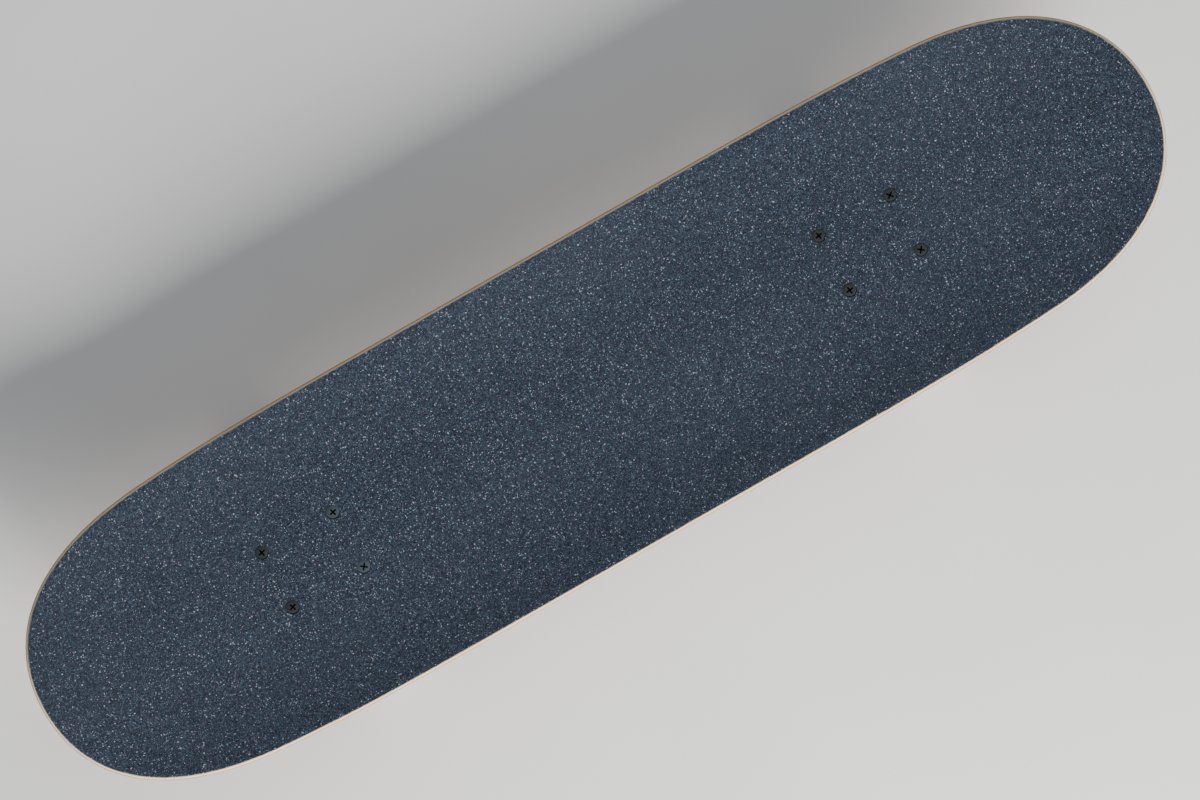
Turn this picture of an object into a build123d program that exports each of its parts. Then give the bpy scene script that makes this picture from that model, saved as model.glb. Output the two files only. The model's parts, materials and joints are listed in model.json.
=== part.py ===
"""A street skateboard: seven-ply maple deck, grip tape, two kingpin trucks, four wheels on ball bearings.

Row frame: +X towards the nose, +Y to the rider's left, +Z up. The origin is on the ground under the deck's centre.
A truck is designed lying on its back, as on a bench: its own X points to the middle of the board, its own Z is the
distance below the deck, and it is turned over when it is placed. All lengths are in millimetres.
"""

import math
import os

from build123d import *

# Deck
deck_length = 812.8
deck_width = 206.4
ply_count = 7
ply_thickness = 1.57
grip_thickness = 0.8
wheelbase = 368.3  # between the inner bolt rows
nose_length = 171.4  # outer bolt row to the tip
bolt_rows = 53.98  # bolt pattern, along the board
bolt_columns = 41.28  # bolt pattern, across the board
flat_half_width = 29.0  # the trucks bolt onto this flat strip
concave_radius = 310.4  # underside, measured across the board
bend_radius = 190.0  # underside, where the nose and the tail turn up
bend_gap = 14.0  # outer bolt row to the start of the bend
nose_angle = 21.0
tail_angle = 20.0

# Truck, in the bench frame
axle_height = 53.0
axle_x = -4.0
axle_radius = 3.97
axle_length = 203.2
hanger_width = 136.0
base_length = 78.0
base_width = 56.0
base_thickness = 6.0
kingpin_lean = 27.0  # degrees from vertical, towards the middle of the board
kingpin_foot_x = -1.0
kingpin_radius = 4.76
pivot_point = (-24.0, 0.0, 12.5)
pivot_lean = 55.0  # degrees above the base, the pivot stem's own line
pivot_ball_radius = 5.5

# Distances along the kingpin, from the deck's face of the baseplate
head_start = 4.8
head_end = 10.3
seat_end = 16.5
washer_sheet = 1.5
lower_bushing_end = 32.0
ring_start = 29.5
ring_end = 38.5
upper_bushing_start = 36.0
upper_bushing_end = 48.0
kingpin_nut_height = 8.0
kingpin_end = 60.5

# Wheels and bearings
wheel_radius = 26.0
wheel_width = 32.0
bearing_outer_radius = 11.0
bearing_inner_radius = 4.05
bearing_width = 7.0
ball_radius = 1.98
ball_circle_radius = 7.5
ball_count = 7
spacer_length = 10.0
speed_washer_thickness = 0.8
axle_nut_height = 6.4

# Deck bolts
bolt_length = 25.4
bolt_radius = 2.38
bolt_head_radius = 4.65
bolt_hole_radius = 2.6
bolt_sink_radius = 4.85
bolt_head_proud = 0.3  # above the wood, still below the face of the grip tape

# Clearances
press_gap = 0.03
seat_gap = 0.1

# Derived places
deck_bottom = wheel_radius + axle_height
deck_thickness = ply_count * ply_thickness
deck_top = deck_bottom + deck_thickness
tip_x = deck_length / 2
front_truck_x = tip_x - nose_length - bolt_rows / 2
rear_truck_x = front_truck_x - wheelbase - bolt_rows
bearing_centre_y = hanger_width / 2 + speed_washer_thickness + bearing_width + spacer_length / 2
bearing_offset = (spacer_length + bearing_width) / 2
stack_end = bearing_offset + bearing_width / 2
bolt_places = [
    (truck_x + row * bolt_rows / 2, column * bolt_columns / 2)
    for truck_x in (front_truck_x, rear_truck_x)
    for row in (1, -1)
    for column in (1, -1)
]

# Bench frame planes and places
lean = math.radians(kingpin_lean)
stem = math.radians(pivot_lean)
kingpin_plane = Plane(
    origin=(kingpin_foot_x, 0, 0),
    x_dir=(math.cos(lean), 0, -math.sin(lean)),
    z_dir=(math.sin(lean), 0, math.cos(lean)),
)
pivot_plane = Plane(
    origin=pivot_point,
    x_dir=(math.sin(stem), 0, -math.cos(stem)),
    z_dir=(math.cos(stem), 0, math.sin(stem)),
)
axle_axis = Axis((axle_x, 0, axle_height), (0, 1, 0))
ring_centre = kingpin_plane.offset((ring_start + ring_end) / 2).origin
truck_places = {
    "front": Location((front_truck_x, 0, deck_bottom), (0, 180, 0)),
    "rear": Location((rear_truck_x, 0, deck_bottom), (180, 0, 0)),
}
axle_places = {
    "front": (front_truck_x - axle_x, wheel_radius),
    "rear": (rear_truck_x + axle_x, wheel_radius),
}

os.makedirs("parts", exist_ok=True)


def save(part, name):
    """Labels a finished piece and writes its file."""
    part.label = name
    export_step(part, f"parts/{name}.step")


# ---------------------------------------------------------------- deck and grip tape


def concave_side(height):
    """Start, middle and end of the curved side of a layer, at this height in the laminate."""
    radius = concave_radius - height
    sweep_angle = math.asin((deck_width / 2 + 6 - flat_half_width) / concave_radius)
    return [
        (
            flat_half_width + radius * math.sin(share * sweep_angle),
            concave_radius - radius * math.cos(share * sweep_angle),
        )
        for share in (0, 0.5, 1)
    ]


def mirrored(points):
    """The same points on the other side of the board."""
    return [(-x, y) for x, y in points]


def board_line():
    """The side view of the underside: tail, bend, flat, bend, nose."""

    def bend(start_x, angle, way):
        turn = math.radians(angle)
        places = [
            (
                start_x + way * bend_radius * math.sin(part_turn),
                deck_bottom + bend_radius * (1 - math.cos(part_turn)),
            )
            for part_turn in (0, turn / 2, turn)
        ]
        reach = deck_length / 8
        end = places[2]
        places.append((end[0] + way * reach * math.cos(turn), end[1] + reach * math.sin(turn)))
        return places

    tail = bend(rear_truck_x - bolt_rows / 2 - bend_gap, tail_angle, -1)
    nose = bend(front_truck_x + bolt_rows / 2 + bend_gap, nose_angle, 1)
    with BuildLine(Plane.XZ) as side_view:
        Line(tail[3], tail[2])
        ThreePointArc(tail[2], tail[1], tail[0])
        Line(tail[0], nose[0])
        ThreePointArc(nose[0], nose[1], nose[2])
        Line(nose[2], nose[3])
    return side_view.wire()


side_line = board_line()

# Plan view: straight sides, a slight taper, then full round ends. The nose is a little fuller than the tail.
side_y = deck_width / 2
shoulder_x = 290.0
with BuildSketch() as plan:
    with BuildLine():
        Line((-110, side_y), (110, side_y))
        Bezier((110, side_y), (200, side_y), (245, side_y - 0.7), (shoulder_x, side_y - 4.3))
        Bezier((shoulder_x, side_y - 4.3), (353, side_y - 9.4), (tip_x, 63), (tip_x, 0))
        Bezier((-110, side_y), (-200, side_y), (-245, side_y - 0.5), (-shoulder_x, side_y - 4.6))
        Bezier((-shoulder_x, side_y - 4.6), (-350, side_y - 10.1), (-tip_x, 66), (-tip_x, 0))
        mirror(about=Plane.XZ)
    make_face()

# The cutter has the board's outline and its drilled, countersunk bolt holes.
with BuildPart() as cutter:
    with BuildSketch(Plane.XY.offset(deck_bottom - 5)):
        add(plan.sketch)
    extrude(amount=80)
    with Locations(*[(x, y, deck_top) for x, y in bolt_places]):
        CounterSinkHole(bolt_hole_radius, bolt_sink_radius, depth=40, counter_sink_angle=90)


def board_layer(low, high):
    """One layer of the board between two heights in the laminate, cut to the outline."""
    section_plane = Plane(origin=side_line @ 0, x_dir=(0, 1, 0), z_dir=side_line % 0)
    under, over = concave_side(low), concave_side(high)
    with BuildPart() as layer:
        with BuildSketch(section_plane):
            with BuildLine():
                Line((-flat_half_width, low), (flat_half_width, low))
                ThreePointArc(*under)
                Line(under[2], over[2])
                ThreePointArc(*over)
                Line((flat_half_width, high), (-flat_half_width, high))
                ThreePointArc(*mirrored(over))
                Line(mirrored(over)[2], mirrored(under)[2])
                ThreePointArc(*mirrored(under))
            make_face()
        sweep(path=side_line)
        add(cutter.part, mode=Mode.INTERSECT)
    return layer.part


for number in range(ply_count):
    ply = board_layer(number * ply_thickness, (number + 1) * ply_thickness)
    save(ply, f"deck_ply_{number + 1}")

save(board_layer(deck_thickness, deck_thickness + grip_thickness), "grip_tape")


# ---------------------------------------------------------------- fasteners


def lock_nut(across_flats, height, bore_radius):
    """A hexagon nut with a round nylon collar, standing on XY."""
    hex_height = 0.68 * height
    with BuildPart() as nut:
        with BuildSketch():
            RegularPolygon(across_flats / 2, 6, major_radius=False)
        extrude(amount=hex_height)
        chamfer(nut.faces().sort_by(Axis.Z)[0].edges(), length=0.06 * across_flats)
        with BuildSketch(Plane.XY.offset(hex_height)):
            Circle(0.46 * across_flats)
        extrude(amount=height - hex_height)
        fillet(nut.faces().sort_by(Axis.Z)[-1].edges(), radius=0.06 * across_flats)
        with BuildSketch():
            Circle(bore_radius)
        extrude(amount=height, mode=Mode.SUBTRACT)
    return nut.part


# Deck bolt: countersunk head with a cross recess, head face on XY, shank downwards.
cross_width = 1.3
cross_length = 5.2
cross_depth = 2.4
with BuildPart() as deck_bolt:
    with BuildSketch(Plane.XZ):
        with BuildLine():
            Polyline(
                (0, 0),
                (bolt_head_radius, 0),
                (bolt_head_radius, -bolt_head_proud),
                (bolt_radius, -bolt_head_proud - bolt_head_radius + bolt_radius),
                (bolt_radius, -bolt_length + 0.6),
                (bolt_radius - 0.6, -bolt_length),
                (0, -bolt_length),
                close=True,
            )
        make_face()
    revolve(axis=Axis.Z)
    with BuildSketch():
        Rectangle(cross_length, cross_width)
        Rectangle(cross_width, cross_length)
    extrude(amount=-cross_depth, taper=8, mode=Mode.SUBTRACT)

deck_nut = lock_nut(across_flats=9.5, height=5.6, bore_radius=bolt_radius + press_gap)

for end, places in (("front", bolt_places[:4]), ("rear", bolt_places[4:])):
    # Each cross stands at the angle where its bolt came tight.
    bolts = [
        deck_bolt.part.moved(Location((x, y, deck_top + bolt_head_proud), (0, 0, 34 + 57 * turn)))
        for turn, (x, y) in enumerate(places)
    ]
    nuts = [
        deck_nut.moved(Location((x, y, deck_bottom - base_thickness - seat_gap), (180, 0, 12 + 25 * turn)))
        for turn, (x, y) in enumerate(places)
    ]
    save(Compound(children=bolts), f"{end}_deck_bolts")
    save(Compound(children=nuts), f"{end}_deck_nuts")


# ---------------------------------------------------------------- truck castings

boss_radius = 15.5
cup_radius = 9.2
cup_floor = -7.0  # along the pivot stem's line, from the pivot point
cup_mouth = 6.0
cup_boss_radius = 11.8
kingpin_head_flats = 14.3

# Baseplate: flat plate, leaning kingpin boss, pivot cup boss, a rib between them.
with BuildPart() as baseplate:
    with BuildSketch():
        RectangleRounded(base_length, base_width, 10)
    extrude(amount=base_thickness)
    fillet(baseplate.faces().sort_by(Axis.Z)[-1].edges(), radius=1.5)
    with BuildSketch(kingpin_plane.offset(seat_end)):
        Circle(boss_radius)
    extrude(amount=-seat_end - 6)
    with BuildSketch(pivot_plane.offset(cup_mouth - 1)):
        Circle(cup_boss_radius)
    extrude(amount=cup_floor - cup_mouth - 6)
    with BuildSketch(Plane.XZ):
        with BuildLine():
            Polyline((-30, 1), (12, 1), (6, 12), (-14, 12.4), (-22, 11), close=True)
        make_face()
    extrude(amount=5, both=True)
    split(bisect_by=Plane.XY.offset(seat_gap), keep=Keep.TOP)
    with BuildSketch(kingpin_plane.offset(seat_end)):
        Circle(kingpin_radius + press_gap)
    extrude(amount=-seat_end, mode=Mode.SUBTRACT)
    with BuildSketch(kingpin_plane.offset(head_end)):
        RegularPolygon(kingpin_head_flats / 2 + seat_gap, 6, major_radius=False)
    extrude(amount=-head_end - 8, mode=Mode.SUBTRACT)
    with BuildSketch(pivot_plane.offset(cup_mouth)):
        Circle(cup_radius + press_gap)
    extrude(amount=cup_floor - cup_mouth - press_gap, mode=Mode.SUBTRACT)
    with Locations((0, 0, base_thickness)):
        with GridLocations(bolt_rows, bolt_columns, 2, 2):
            Hole(bolt_hole_radius, depth=base_thickness)

# Hanger: axle bar, swept-back web, kingpin ring and pivot stem, cast in one.
ring_radius = 18.0
bar_end_radius = 8.5
bar_middle_radius = 11.5
web_line = Vector(ring_centre.X - axle_x, 0, ring_centre.Z - axle_height)
web_plane = Plane(
    origin=(axle_x, 0, axle_height),
    x_dir=(0, 1, 0),
    z_dir=Vector(0, 1, 0).cross(web_line.normalized()),
)
half_bar = hanger_width / 2
with BuildPart() as hanger:
    with BuildSketch(web_plane):
        with BuildLine():
            Polyline(
                (-half_bar, 0),
                (-half_bar, bar_end_radius),
                (-half_bar + 14, bar_end_radius),
                (-16, bar_middle_radius),
                (16, bar_middle_radius),
                (half_bar - 14, bar_end_radius),
                (half_bar, bar_end_radius),
                (half_bar, 0),
                close=True,
            )
        make_face()
    revolve(axis=axle_axis)
    with BuildSketch(web_plane):
        with BuildLine():
            Polyline((-50, 0), (50, 0), (17, web_line.length - 4), (-17, web_line.length - 4), close=True)
        make_face()
    extrude(amount=5.5, both=True)
    with BuildSketch(kingpin_plane.offset(ring_start)):
        Circle(ring_radius)
    extrude(amount=ring_end - ring_start)
    with Locations(pivot_plane.location):
        Cone(pivot_ball_radius, 8.6, 38, align=(Align.CENTER, Align.CENTER, Align.MIN))
        Sphere(pivot_ball_radius)
    with Locations(kingpin_plane.offset(seat_end).location):
        Cylinder(
            12.8,
            ring_start - seat_end,
            align=(Align.CENTER, Align.CENTER, Align.MIN),
            mode=Mode.SUBTRACT,
        )
    with Locations(kingpin_plane.offset(ring_end).location):
        Cylinder(13.2, 26, align=(Align.CENTER, Align.CENTER, Align.MIN), mode=Mode.SUBTRACT)
    for seat, height in ((ring_start, lower_bushing_end - ring_start), (upper_bushing_start, ring_end - upper_bushing_start)):
        with BuildSketch(kingpin_plane.offset(seat)):
            Circle(12.2)
        extrude(amount=height, mode=Mode.SUBTRACT)
    with BuildSketch(kingpin_plane.offset(ring_start)):
        Circle(8.6)
    extrude(amount=ring_end - ring_start, mode=Mode.SUBTRACT)
    with BuildSketch(Plane.XZ.offset(half_bar)):
        with Locations((axle_x, axle_height)):
            Circle(axle_radius + press_gap)
    extrude(amount=-hanger_width, mode=Mode.SUBTRACT)


# ---------------------------------------------------------------- kingpin, bushings and pivot cup

with BuildPart() as pivot_cup:
    with Locations(pivot_plane.offset(cup_floor).location):
        Cylinder(cup_radius, cup_mouth - cup_floor, align=(Align.CENTER, Align.CENTER, Align.MIN))
    with Locations(pivot_plane.location):
        Sphere(pivot_ball_radius + seat_gap, mode=Mode.SUBTRACT)
        Cone(
            pivot_ball_radius + seat_gap,
            cup_radius - 1.2,
            cup_mouth,
            align=(Align.CENTER, Align.CENTER, Align.MIN),
            mode=Mode.SUBTRACT,
        )

with BuildPart() as kingpin:
    with BuildSketch(kingpin_plane.offset(head_start)):
        RegularPolygon(kingpin_head_flats / 2, 6, major_radius=False)
    extrude(amount=head_end - head_start)
    with BuildSketch(kingpin_plane.offset(head_end)):
        Circle(kingpin_radius)
    extrude(amount=kingpin_end - head_end)
    chamfer(kingpin.faces().sort_by(Axis.Z)[-1].edges(), length=0.8)


def cupped_washer(start, radius, lip_up):
    """A dished washer on the kingpin. Its lip holds the end of a bushing, above it or below it."""
    with BuildPart() as washer:
        with BuildSketch(kingpin_plane.offset(start)):
            Circle(radius)
            Circle(kingpin_radius + seat_gap, mode=Mode.SUBTRACT)
        extrude(amount=washer_sheet)
        lip_start = start + washer_sheet if lip_up else start
        with BuildSketch(kingpin_plane.offset(lip_start)):
            Circle(radius)
            Circle(radius - 1.1, mode=Mode.SUBTRACT)
        extrude(amount=1.4 if lip_up else -1.4)
    return washer.part


def bushing(start, end, lower_radius, upper_radius):
    """A urethane bushing on the kingpin: a plain barrel, or a cone when the two radii differ."""
    with BuildPart() as rubber:
        with BuildSketch(kingpin_plane.offset(start)):
            Circle(lower_radius)
        with BuildSketch(kingpin_plane.offset(end)):
            Circle(upper_radius)
        loft()
        rims = rubber.edges().filter_by(GeomType.CIRCLE)
        fillet(rims, radius=0.8)
        with BuildSketch(kingpin_plane.offset(start)):
            Circle(kingpin_radius + seat_gap)
        extrude(amount=end - start, mode=Mode.SUBTRACT)
    return rubber.part


kingpin_nut = lock_nut(across_flats=14.2, height=kingpin_nut_height, bore_radius=kingpin_radius + press_gap)
nut_start = upper_bushing_end + washer_sheet

with BuildPart() as axle:
    with BuildSketch(Plane.XZ.offset(axle_length / 2)):
        with Locations((axle_x, axle_height)):
            Circle(axle_radius)
    extrude(amount=-axle_length)
    chamfer(axle.faces().filter_by(Axis.Y).edges(), length=0.8)

truck_pieces = {
    "baseplate": baseplate.part,
    "pivot_cup": pivot_cup.part,
    "kingpin": kingpin.part,
    "kingpin_nut": kingpin_nut.moved(kingpin_plane.offset(nut_start).location),
    "boardside_washer": cupped_washer(seat_end, 13.2, lip_up=True),
    "boardside_bushing": bushing(seat_end + washer_sheet, lower_bushing_end, 12.0, 12.0),
    "roadside_bushing": bushing(upper_bushing_start, upper_bushing_end, 12.0, 9.4),
    "roadside_washer": cupped_washer(upper_bushing_end, 10.8, lip_up=False),
    "hanger": hanger.part,
    "axle": axle.part,
}
for end, place in truck_places.items():
    for name, piece in truck_pieces.items():
        save(piece.moved(place), f"{end}_{name}")


# ---------------------------------------------------------------- wheel and bearings, about the Y axis


def turned(profile):
    """A piece turned about the Y axis from a closed outline of (y, radius) points."""
    with BuildPart() as piece:
        with BuildSketch(Plane.XY):
            with BuildLine():
                Polyline(*[(radius, y) for y, radius in profile], close=True)
            make_face()
        revolve(axis=Axis.Y)
    return piece.part


half_wheel = wheel_width / 2
tread_half = 9.0
lip_radius = 19.5
pocket_radius = bearing_outer_radius + press_gap
core_radius = 9.4
with BuildPart() as wheel:
    with BuildSketch(Plane.XY):
        with BuildLine():
            Line((wheel_radius, -tread_half), (wheel_radius, tread_half))
            Bezier((wheel_radius, tread_half), (wheel_radius, 13), (24, half_wheel), (lip_radius, half_wheel))
            Polyline(
                (lip_radius, half_wheel),
                (14.5, half_wheel - 2.2),
                (13.2, stack_end + 0.4),
                (pocket_radius, stack_end),
                (pocket_radius, spacer_length / 2),
                (core_radius, spacer_length / 2),
                (core_radius, 0),
            )
            mirror(about=Plane.XZ)
        make_face()
    revolve(axis=Axis.Y)

race_outer_wall = 9.45
race_inner_wall = 6.05
groove_radius = ball_radius + seat_gap
with BuildPart() as outer_ring:
    add(
        turned(
            [
                (-bearing_width / 2, race_outer_wall),
                (-bearing_width / 2, bearing_outer_radius),
                (bearing_width / 2, bearing_outer_radius),
                (bearing_width / 2, race_outer_wall),
            ]
        )
    )
    Torus(ball_circle_radius, groove_radius, rotation=(90, 0, 0), mode=Mode.SUBTRACT)

with BuildPart() as inner_ring:
    add(
        turned(
            [
                (-bearing_width / 2, bearing_inner_radius),
                (-bearing_width / 2, race_inner_wall),
                (bearing_width / 2, race_inner_wall),
                (bearing_width / 2, bearing_inner_radius),
            ]
        )
    )
    Torus(ball_circle_radius, groove_radius, rotation=(90, 0, 0), mode=Mode.SUBTRACT)

ball_plane = Plane(origin=(0, 0, 0), x_dir=(1, 0, 0), z_dir=(0, 1, 0))
cage_half = 2.5
with BuildPart() as cage:
    add(turned([(-cage_half, 6.6), (-cage_half, 8.6), (cage_half, 8.6), (cage_half, 6.6)]))
    with Locations(ball_plane.location):
        with PolarLocations(ball_circle_radius, ball_count):
            Cylinder(ball_radius + 0.06, 4, rotation=(0, 90, 0), mode=Mode.SUBTRACT)

with BuildPart() as balls:
    with Locations(ball_plane.location):
        with PolarLocations(ball_circle_radius, ball_count):
            Sphere(ball_radius)

seal_inner = 6.4
seal_outer = race_outer_wall - press_gap
seal_sheet = 0.4
seal = turned([(2.9, seal_inner), (2.9, seal_outer), (2.9 + seal_sheet, seal_outer), (2.9 + seal_sheet, seal_inner)])
spacer = turned([(-5, 4.1), (-5, 5.2), (5, 5.2), (5, 4.1)])
speed_washer = turned([(0, 4.1), (0, 6.2), (speed_washer_thickness, 6.2), (speed_washer_thickness, 4.1)])
axle_nut = lock_nut(across_flats=12.7, height=axle_nut_height, bore_radius=axle_radius + press_gap)
outwards = Location((0, 0, 0), (-90, 0, 0))  # turns +Z to +Y


def both_bearings(piece):
    """Two copies of a bearing piece, in the inner and the outer bearing of one wheel."""
    return [piece.moved(Location((0, way * bearing_offset, 0))) for way in (-1, 1)]


seal_pair = [seal, seal.rotate(Axis.X, 180)]
wheel_pieces = {
    "wheel": [wheel.part],
    "bearing_outer_rings": both_bearings(outer_ring.part),
    "bearing_seals": [shield for one in seal_pair for shield in both_bearings(one)],
    "bearing_cages": both_bearings(cage.part),
    "bearing_balls": [ball for group in both_bearings(balls.part) for ball in group.solids()],
}
axle_end_pieces = {
    "bearing_inner_rings": both_bearings(inner_ring.part),
    "bearing_spacers": [spacer],
    "speed_washers": [
        speed_washer.moved(Location((0, stack_end, 0))),
        speed_washer.moved(Location((0, -stack_end - speed_washer_thickness, 0))),
    ],
    "axle_nuts": [axle_nut.moved(Location((0, stack_end + speed_washer_thickness, 0)) * outwards)],
}
for end, (x, z) in axle_places.items():
    sides = {
        "left": Location((x, bearing_centre_y, z)),
        "right": Location((x, -bearing_centre_y, z), (0, 0, 180)),
    }
    for side, place in sides.items():
        for name, pieces in wheel_pieces.items():
            save(Compound(children=[piece.moved(place) for piece in pieces]), f"{end}_{side}_{name}")
    for name, pieces in axle_end_pieces.items():
        placed = [piece.moved(place) for place in sides.values() for piece in pieces]
        save(Compound(children=placed), f"{end}_{name}")
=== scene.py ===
import json
import math

import bmesh
import bpy
import numpy as np
from mathutils import Matrix, Vector


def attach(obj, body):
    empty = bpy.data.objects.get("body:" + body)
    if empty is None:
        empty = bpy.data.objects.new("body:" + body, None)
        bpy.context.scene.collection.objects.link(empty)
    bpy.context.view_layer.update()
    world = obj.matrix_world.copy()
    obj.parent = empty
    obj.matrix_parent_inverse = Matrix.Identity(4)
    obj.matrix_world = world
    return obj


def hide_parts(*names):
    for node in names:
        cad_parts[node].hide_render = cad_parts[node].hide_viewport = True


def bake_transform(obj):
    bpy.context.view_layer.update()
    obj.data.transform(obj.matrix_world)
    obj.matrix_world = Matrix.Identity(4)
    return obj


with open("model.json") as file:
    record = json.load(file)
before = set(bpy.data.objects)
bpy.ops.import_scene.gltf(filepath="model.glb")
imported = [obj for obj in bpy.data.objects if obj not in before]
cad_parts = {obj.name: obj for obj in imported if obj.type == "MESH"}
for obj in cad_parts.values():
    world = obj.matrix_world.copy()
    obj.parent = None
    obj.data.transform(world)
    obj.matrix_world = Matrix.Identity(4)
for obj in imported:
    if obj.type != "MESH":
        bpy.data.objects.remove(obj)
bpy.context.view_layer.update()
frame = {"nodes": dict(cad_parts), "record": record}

scene = bpy.context.scene

# ---------------- the deck
# Seven rotary-cut maple veneers, glued and pressed in one mould, then sawn to the outline, drilled
# for the trucks and rounded over all round. The third and fifth run across the board, against splitting.

MM = 0.001
deck_length = 812.8
deck_width = 206.4
ply_count = 7
ply_thickness = 1.57
deck_bottom = 79.0
edge_round = 3.0
nose_to_bolts = 171.4
wheelbase = 368.3
bolt_rows = 53.98
bolt_columns = 41.28
deck_thickness = ply_count * ply_thickness
deck_top = deck_bottom + deck_thickness
front_truck_x = deck_length / 2 - nose_to_bolts - bolt_rows / 2
rear_truck_x = front_truck_x - wheelbase - bolt_rows
bolt_places = [
    (truck_x + row * bolt_rows / 2, column * bolt_columns / 2)
    for truck_x in (front_truck_x, rear_truck_x)
    for row in (1, -1)
    for column in (1, -1)
]


class Wire:
    """One value on its way through a node tree. A sum written with it becomes Math nodes."""

    def __init__(self, tree, socket):
        self.tree = tree
        self.socket = socket

    def __add__(self, other):
        return self.tree.math("ADD", self, other)

    def __sub__(self, other):
        return self.tree.math("SUBTRACT", self, other)

    def __rsub__(self, other):
        return self.tree.math("SUBTRACT", other, self)

    def __mul__(self, other):
        return self.tree.math("MULTIPLY", self, other)

    def __truediv__(self, other):
        return self.tree.math("DIVIDE", self, other)

    def __pow__(self, other):
        return self.tree.math("POWER", self, other)

    def __abs__(self):
        return self.tree.math("ABSOLUTE", self)

    def __gt__(self, other):
        return self.tree.math("GREATER_THAN", self, other)

    def __lt__(self, other):
        return self.tree.math("LESS_THAN", self, other)

    __radd__ = __add__
    __rmul__ = __mul__


class Tree:
    """Lays out one node tree. add() makes any node: settings first, then socket values or wires."""

    def __init__(self, tree):
        self.tree = tree
        self.tree.nodes.clear()

    def add(self, kind, settings=None, sockets=None, out=0):
        node = self.tree.nodes.new(kind)
        for name, value in (settings or {}).items():
            setattr(node, name, value)
        for name, value in (sockets or {}).items():
            if isinstance(value, Wire):
                self.tree.links.new(value.socket, node.inputs[name])
            else:
                node.inputs[name].default_value = value
        return Wire(self, node.outputs[out]) if node.outputs else node

    def math(self, operation, *values):
        return self.add("ShaderNodeMath", {"operation": operation}, dict(enumerate(values)))

    def split(self, vector):
        parts = self.add("ShaderNodeSeparateXYZ", None, {0: vector}).socket.node.outputs
        return [Wire(self, part) for part in parts]

    def join(self, x, y, z):
        return self.add("ShaderNodeCombineXYZ", None, {0: x, 1: y, 2: z})

    def smooth(self, value, low, high):
        """The value from low to high, eased onto 0 to 1."""
        settings = {"interpolation_type": "SMOOTHSTEP"}
        return self.add("ShaderNodeMapRange", settings, {0: value, 1: low, 2: high})


class Finish(Tree):
    """A material, from its nodes to its shader."""

    def __init__(self, name):
        self.material = bpy.data.materials.new(name)
        self.material.use_nodes = True
        super().__init__(self.material.node_tree)
        self.place = self.add("ShaderNodeTexCoord", out="Object")

    def attribute(self, name):
        return self.add("ShaderNodeAttribute", {"attribute_name": name}, out="Fac")

    def stretch(self, x, y, z, moved=(0, 0, 0)):
        """The place on the piece, scaled along each axis."""
        sockets = {"Vector": self.place, "Scale": (x, y, z), "Location": moved}
        return self.add("ShaderNodeMapping", None, sockets)

    def noise(self, scale, place=None, detail=3.0, warp=0.0):
        sockets = {"Vector": place or self.place, "Scale": scale, "Detail": detail, "Distortion": warp}
        return self.add("ShaderNodeTexNoise", None, sockets, "Fac")

    def grains(self, scale, place=None, out="Color"):
        return self.add("ShaderNodeTexVoronoi", None, {"Vector": place or self.place, "Scale": scale}, out)

    def blend(self, share, first, second):
        """Two colours mixed by a share from 0 to 1."""
        colours = [colour if isinstance(colour, Wire) else (*colour, 1) for colour in (first, second)]
        sockets = {0: share, 6: colours[0], 7: colours[1]}
        return self.add("ShaderNodeMix", {"data_type": "RGBA"}, sockets, 2)

    def bump(self, height, depth, strength):
        """A relief whose height runs from 0 to 1 over this depth in millimetres."""
        sockets = {"Height": height, "Distance": depth * MM, "Strength": strength}
        return self.add("ShaderNodeBump", None, sockets)

    def shade(self, **sockets):
        sockets = {name.replace("_", " "): value for name, value in sockets.items()}
        shader = self.add("ShaderNodeBsdfPrincipled", None, sockets, "BSDF")
        self.add("ShaderNodeOutputMaterial", None, {"Surface": shader})
        return self.material


def geometry_tree(name, *sizes, **others):
    """A Geometry Nodes tree with a finish, plain sizes, and other inputs by their socket type."""
    group = bpy.data.node_groups.new(name, "GeometryNodeTree")
    tree = Tree(group)
    kinds = {"Geometry": "Geometry", "Finish": "Material", **dict.fromkeys(sizes, "Float"), **others}
    for size, kind in kinds.items():
        group.interface.new_socket(size, in_out="INPUT", socket_type=f"NodeSocket{kind}")
    group.interface.new_socket("Geometry", in_out="OUTPUT", socket_type="NodeSocketGeometry")
    entry = tree.add("NodeGroupInput").socket.node
    tree.given = {size: Wire(tree, entry.outputs[size]) for size in kinds}
    return tree


def finish_tree(tree, geometry, where=True):
    """Ends a tree: real geometry, with the finish that was given."""
    real = tree.add("GeometryNodeRealizeInstances", None, {"Geometry": geometry})
    sockets = {"Geometry": real, "Selection": where, "Material": tree.given["Finish"]}
    tree.add("NodeGroupOutput", None, {0: tree.add("GeometryNodeSetMaterial", None, sockets)})


def settled(piece):
    """Leaves what a piece's modifiers make of it as its plain mesh."""
    graph = bpy.context.evaluated_depsgraph_get()
    made = piece.evaluated_get(graph)
    piece.data = bpy.data.meshes.new_from_object(made, preserve_all_data_layers=True, depsgraph=graph)
    piece.modifiers.clear()
    return piece


def grow(tree, piece, values):
    """Runs a tree on a piece with these input values."""
    modifier = piece.modifiers.new("made", "NODES")
    modifier.node_group = tree.tree
    for item in tree.tree.interface.items_tree:
        if item.name in values:
            modifier[item.identifier] = values[item.name]
    return settled(piece)


def new_piece(name, mesh):
    piece = bpy.data.objects.new(name, mesh)
    scene.collection.objects.link(piece)
    return piece


def mesh_piece(name, points, faces, **numbers):
    """A piece from points in millimetres and faces, with any numbers that its points carry."""
    mesh = bpy.data.meshes.new(name)
    mesh.from_pydata([Vector(point) * MM for point in points], [], faces)
    for number, values in numbers.items():
        attribute = mesh.attributes.new(number, "FLOAT", "POINT")
        attribute.data.foreach_set("value", np.asarray(values, np.float32))
    return new_piece(name, mesh)


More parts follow.
